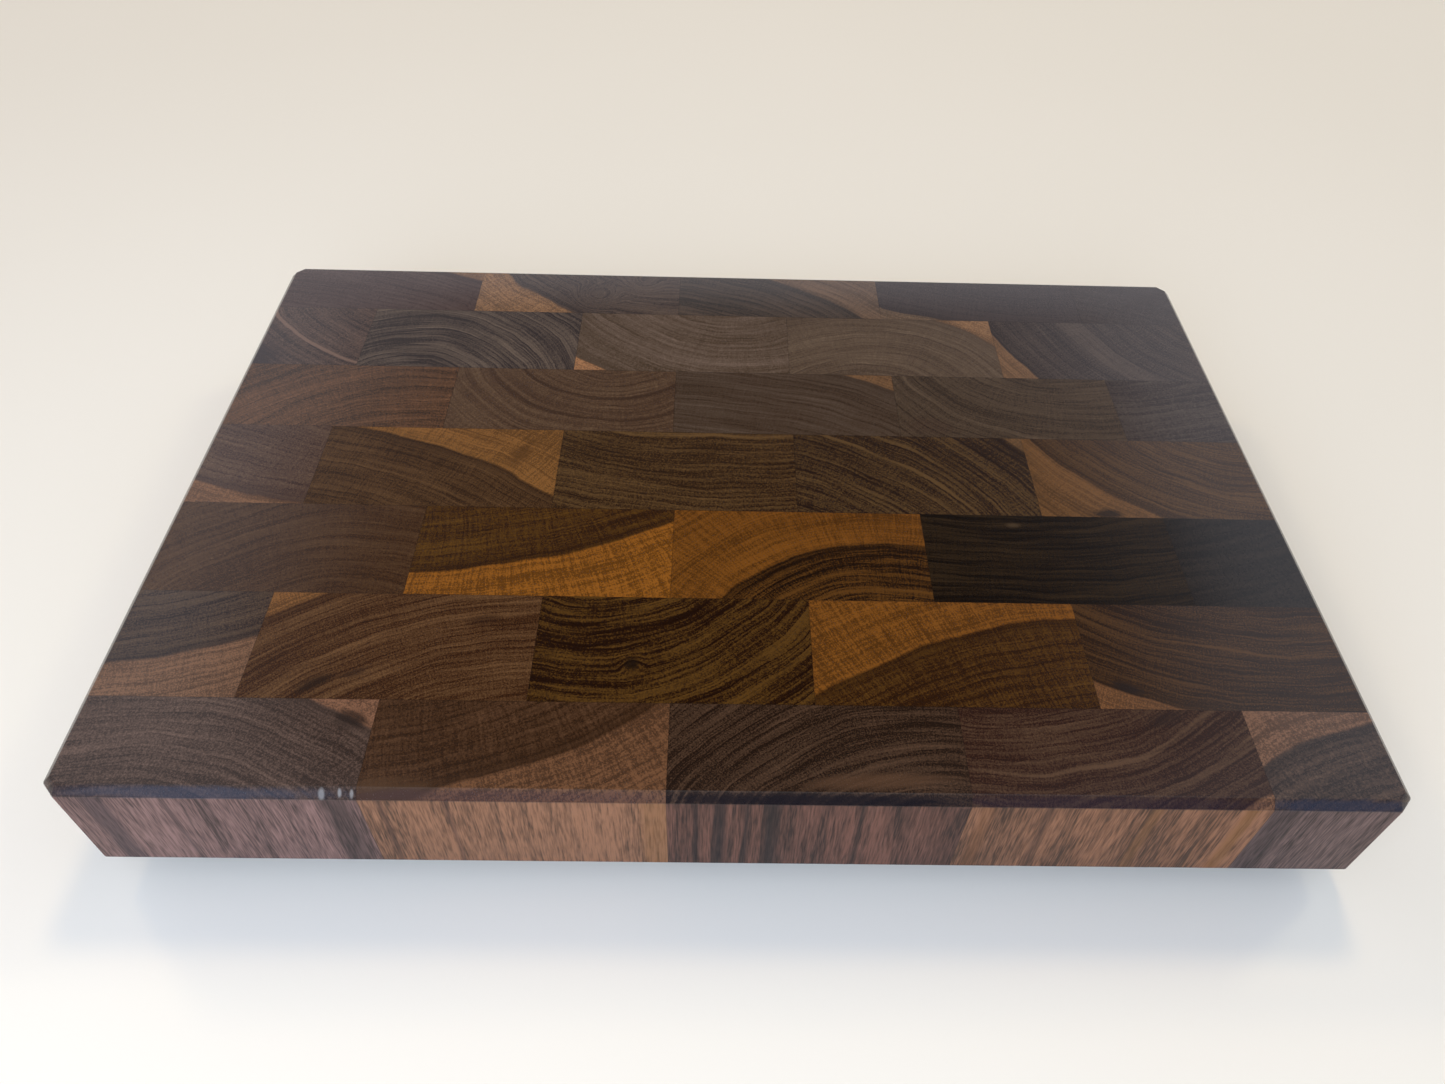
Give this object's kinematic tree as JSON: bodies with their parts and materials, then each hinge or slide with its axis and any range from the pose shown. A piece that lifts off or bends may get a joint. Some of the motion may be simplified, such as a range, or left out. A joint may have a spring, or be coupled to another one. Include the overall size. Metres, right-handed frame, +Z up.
{
  "type": "cutting board",
  "caption": "Thick rectangular end-grain walnut cutting board, blocks glued in staggered rows, chamfered rims, raised on screwed round rubber feet.",
  "frame": {"origin": "on the surface that the feet stand on, below the middle of the board", "axes": "+X along the long side to the right, +Y from the front edge to the back edge, +Z up out of the work surface"},
  "size_m": [0.4572, 0.3048, 0.062],
  "materials": {
    "walnut_dark": "oiled satin, dark heartwood, end grain up",
    "walnut_mid": "oiled satin, medium heartwood, end grain up",
    "walnut_sap": "oiled satin, heartwood with a large share of sapwood, end grain up",
    "foot_rubber": "moulded, matte",
    "washer_steel": "stainless, stamped",
    "screw_steel": "stainless, cold headed"
  },
  "bodies": {
    "root": {"row_1_block_1": "walnut_mid", "row_1_block_2": "walnut_mid", "row_1_block_3": "walnut_mid", "row_1_block_4": "walnut_mid", "row_1_block_5": "walnut_sap", "row_2_block_1": "walnut_sap", "row_2_block_2": "walnut_mid", "row_2_block_3": "walnut_mid", "row_2_block_4": "walnut_sap", "row_2_block_5": "walnut_mid", "row_3_block_1": "walnut_mid", "row_3_block_2": "walnut_sap", "row_3_block_3": "walnut_sap", "row_3_block_4": "walnut_dark", "row_3_block_5": "walnut_dark", "row_4_block_1": "walnut_mid", "row_4_block_2": "walnut_sap", "row_4_block_3": "walnut_mid", "row_4_block_4": "walnut_mid", "row_4_block_5": "walnut_mid", "row_5_block_1": "walnut_mid", "row_5_block_2": "walnut_mid", "row_5_block_3": "walnut_dark", "row_5_block_4": "walnut_mid", "row_5_block_5": "walnut_mid", "row_6_block_1": "walnut_mid", "row_6_block_2": "walnut_dark", "row_6_block_3": "walnut_mid", "row_6_block_4": "walnut_mid", "row_6_block_5": "walnut_mid", "row_7_block_1": "walnut_mid", "row_7_block_2": "walnut_mid", "row_7_block_3": "walnut_dark", "row_7_block_4": "walnut_dark", "row_7_block_5": "walnut_dark", "foot_front_left": "foot_rubber", "foot_front_right": "foot_rubber", "foot_back_left": "foot_rubber", "foot_back_right": "foot_rubber", "foot_washers": "washer_steel", "foot_screws": "screw_steel"}
  },
  "joints": []
}
